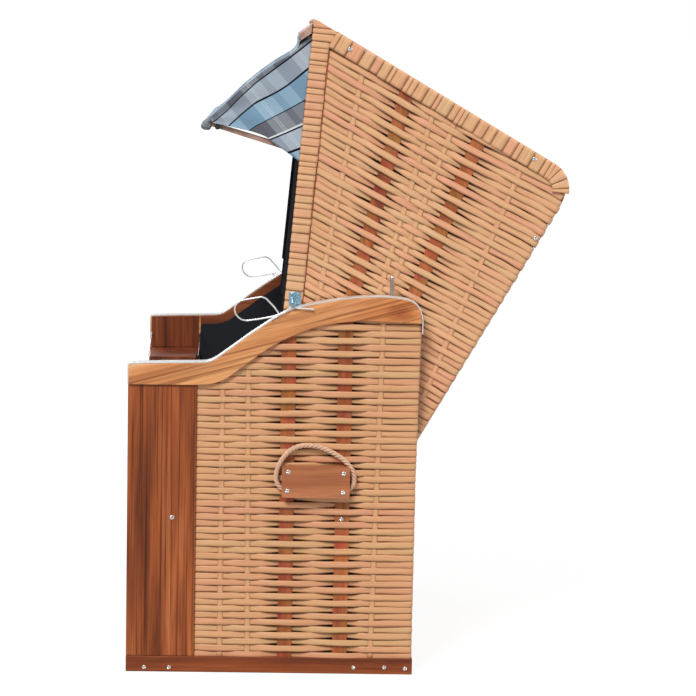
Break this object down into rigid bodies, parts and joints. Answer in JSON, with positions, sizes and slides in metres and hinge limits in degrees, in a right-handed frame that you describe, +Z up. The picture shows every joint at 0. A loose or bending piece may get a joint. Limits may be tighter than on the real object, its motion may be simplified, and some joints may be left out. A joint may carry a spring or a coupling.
{
  "type": "hooded beach chair",
  "caption": "Two-seat hooded beach chair with a woven reclining hood, checked awning, wooden armrests, folding side tables, rope handles and pull-out footrests.",
  "frame": {"origin": "middle of the bounding box, on the ground under the bottom rails", "axes": "+Z up, the chair faces -Y, the sitter's left side is +X; shown with the hood leaned back 30 degrees"},
  "size_m": [1.2216, 1.1705, 1.7632],
  "materials": {
    "wicker": "woven round strands, matt",
    "armrest_wood": "oiled, satin",
    "frame_wood": "oiled, satin",
    "plate_wood": "oiled, satin",
    "lining": "matt black lining cloth on board",
    "steel": "polished stainless",
    "rope": "twisted natural fibre",
    "check_cloth": "woven, matt, blue and grey check",
    "board": "plywood, unfinished"
  },
  "bodies": {
    "base": {"bottom_rail_left": "frame_wood", "bottom_rail_right": "frame_wood", "front_stile_left": "frame_wood", "front_stile_right": "frame_wood", "mid_post_left": "frame_wood", "mid_post_right": "frame_wood", "rear_post_left": "frame_wood", "rear_post_right": "frame_wood", "wicker_side_left": "wicker", "wicker_side_right": "wicker", "side_lining_left": "lining", "side_lining_right": "lining", "armrest_left": "armrest_wood", "armrest_right": "armrest_wood", "slide_rail_left": "steel", "slide_rail_right": "steel", "stop_pin_left": "steel", "stop_pin_right": "steel", "pivot_bolt_left": "steel", "pivot_bolt_right": "steel", "seat_rail_left": "frame_wood", "seat_rail_right": "frame_wood", "handle_plate_left": "plate_wood", "handle_plate_right": "plate_wood", "rope_handle_left": "rope", "rope_handle_right": "rope", "bottom_rail_rear": "frame_wood", "base_rear_rail": "frame_wood", "base_rear_wicker": "wicker", "seat_beam_front": "frame_wood", "seat_beam_rear": "frame_wood", "seat_board": "board", "seat_cushion": "check_cloth"},
    "hood": {"hood_side_left": "wicker", "hood_side_right": "wicker", "hood_lining_left": "lining", "hood_lining_right": "lining", "hood_fitting_left": "steel", "hood_fitting_right": "steel", "neck_pillow_left": "check_cloth", "neck_pillow_right": "check_cloth", "hood_roof": "wicker", "hood_back": "wicker", "header_beam": "frame_wood", "backrest_panel": "board", "back_cushion": "check_cloth", "awning_fabric": "check_cloth"},
    "awning_frame": {"awning_arm_left": "frame_wood", "awning_arm_right": "frame_wood", "awning_rod": "frame_wood"},
    "lever_left": {"release_lever_left": "steel"},
    "table_left": {"side_table_left": "frame_wood"},
    "stay_left": {"table_stay_left": "steel"},
    "footrest_left": {"footrest_box_left": "frame_wood", "footrest_cushion_left": "check_cloth"},
    "lever_right": {"release_lever_right": "steel"},
    "table_right": {"side_table_right": "frame_wood"},
    "stay_right": {"table_stay_right": "steel"},
    "footrest_right": {"footrest_box_right": "frame_wood", "footrest_cushion_right": "check_cloth"}
  },
  "joints": [
    {"name": "hood_recline", "type": "hinge", "parent": "base", "child": "hood", "pos_m": [0, -0.0452, 0.7], "axis": [-1, 0, 0], "range_deg": [-30, 15]},
    {"name": "awning_fold", "type": "hinge", "parent": "hood", "child": "awning_frame", "pos_m": [0, -0.0952, 1.3994], "axis": [-1, 0, 0], "range_deg": [0, 50], "deforming": ["awning_fabric"]},
    {"name": "lever_left_pull", "type": "hinge", "parent": "hood", "child": "lever_left", "pos_m": [0.5975, -0.1475, 1.0093], "axis": [-1, 0, 0], "range_deg": [0, 30]},
    {"name": "table_left_fold", "type": "hinge", "parent": "base", "child": "table_left", "pos_m": [0.5425, -0.5052, 0.7285], "axis": [0, -1, 0], "range_deg": [0, 88]},
    {"name": "stay_left_fold", "type": "hinge", "parent": "base", "child": "stay_left", "pos_m": [0.5425, -0.5052, 0.7925], "axis": [0, -1, 0], "range_deg": [0, 76.1]},
    {"name": "footrest_left_slide", "type": "slide", "parent": "base", "child": "footrest_left", "axis": [0, -1, 0], "range_m": [0, 0.42]},
    {"name": "lever_right_pull", "type": "hinge", "parent": "hood", "child": "lever_right", "pos_m": [-0.5975, -0.1475, 1.0093], "axis": [-1, 0, 0], "range_deg": [0, 30]},
    {"name": "table_right_fold", "type": "hinge", "parent": "base", "child": "table_right", "pos_m": [-0.5425, -0.5052, 0.7285], "axis": [0, 1, 0], "range_deg": [0, 88]},
    {"name": "stay_right_fold", "type": "hinge", "parent": "base", "child": "stay_right", "pos_m": [-0.5425, -0.5052, 0.7925], "axis": [0, 1, 0], "range_deg": [0, 76.1]},
    {"name": "footrest_right_slide", "type": "slide", "parent": "base", "child": "footrest_right", "axis": [0, -1, 0], "range_m": [0, 0.42]}
  ],
  "couplings": [
    {"joint": "stay_left_fold", "follows": "table_left_fold", "ratio": 0.864},
    {"joint": "stay_right_fold", "follows": "table_right_fold", "ratio": 0.864}
  ]
}
